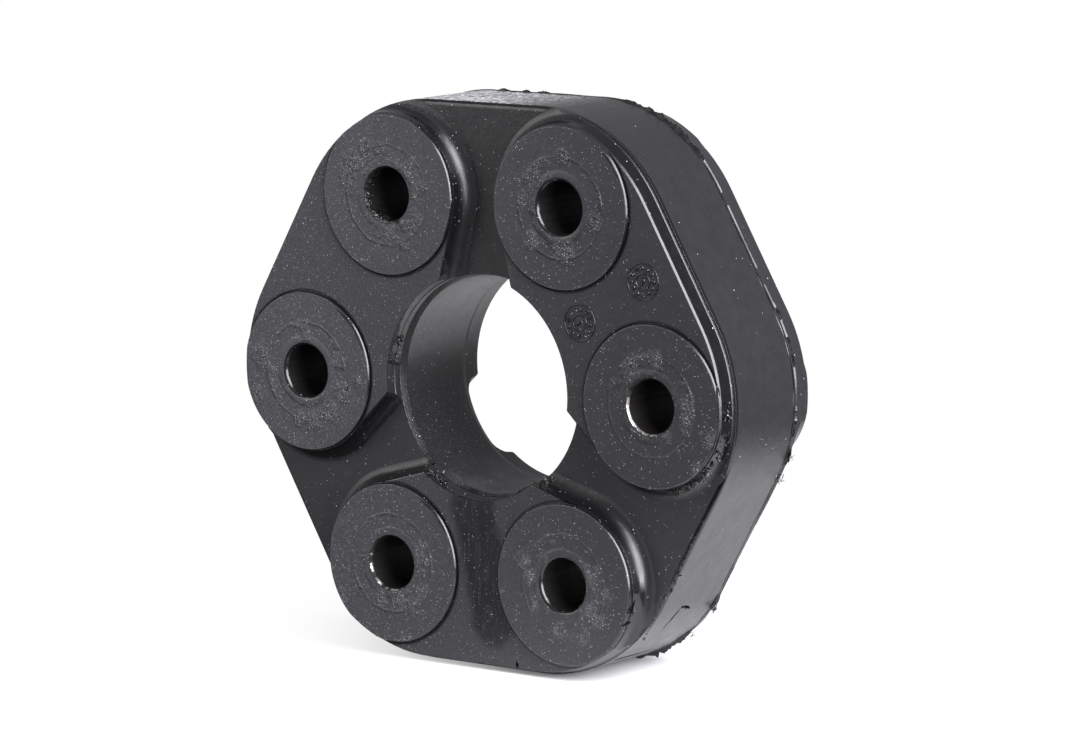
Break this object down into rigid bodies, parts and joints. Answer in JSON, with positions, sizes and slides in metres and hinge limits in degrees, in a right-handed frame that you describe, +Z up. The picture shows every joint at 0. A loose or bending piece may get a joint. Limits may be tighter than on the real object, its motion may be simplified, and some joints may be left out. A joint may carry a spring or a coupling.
{
  "type": "driveshaft coupler",
  "caption": "Moulded rubber flex disc that joins two shaft flanges: a rounded hexagon with steel-sleeved bolt bosses on raised pads, recesses between them and an open centre bore.",
  "frame": {"origin": "middle of the flat of the rim that the coupler stands on", "axes": "the shafts' axis lies along Y, with the face that the picture shows towards -Y; +Z is up and X runs across two opposite bolt holes"},
  "size_m": [0.134, 0.0342, 0.126],
  "materials": {
    "rubber": "moulded natural rubber, charcoal black, satin, dusted with pale talc specks",
    "sleeve_steel": "turned steel, dulled, bare at the bolt hole's mouth",
    "ring_steel": "plated steel, hidden in the rubber",
    "cord": "wound polyester cord, hidden in the rubber"
  },
  "bodies": {
    "root": {"rubber_body": "rubber", "bolt_sleeve_1": "sleeve_steel", "bolt_sleeve_2": "sleeve_steel", "bolt_sleeve_3": "sleeve_steel", "bolt_sleeve_4": "sleeve_steel", "bolt_sleeve_5": "sleeve_steel", "bolt_sleeve_6": "sleeve_steel", "front_collar_1": "ring_steel", "front_collar_2": "ring_steel", "front_collar_3": "ring_steel", "front_collar_4": "ring_steel", "front_collar_5": "ring_steel", "front_collar_6": "ring_steel", "rear_collar_1": "ring_steel", "rear_collar_2": "ring_steel", "rear_collar_3": "ring_steel", "rear_collar_4": "ring_steel", "rear_collar_5": "ring_steel", "rear_collar_6": "ring_steel", "front_spacer_1": "ring_steel", "front_spacer_2": "ring_steel", "front_spacer_3": "ring_steel", "front_spacer_4": "ring_steel", "front_spacer_5": "ring_steel", "front_spacer_6": "ring_steel", "rear_spacer_1": "ring_steel", "rear_spacer_2": "ring_steel", "rear_spacer_3": "ring_steel", "rear_spacer_4": "ring_steel", "rear_spacer_5": "ring_steel", "rear_spacer_6": "ring_steel", "front_cord_loop_1": "cord", "front_cord_loop_2": "cord", "front_cord_loop_3": "cord", "centre_cord_loop_1": "cord", "centre_cord_loop_2": "cord", "centre_cord_loop_3": "cord", "rear_cord_loop_1": "cord", "rear_cord_loop_2": "cord", "rear_cord_loop_3": "cord"}
  },
  "joints": []
}
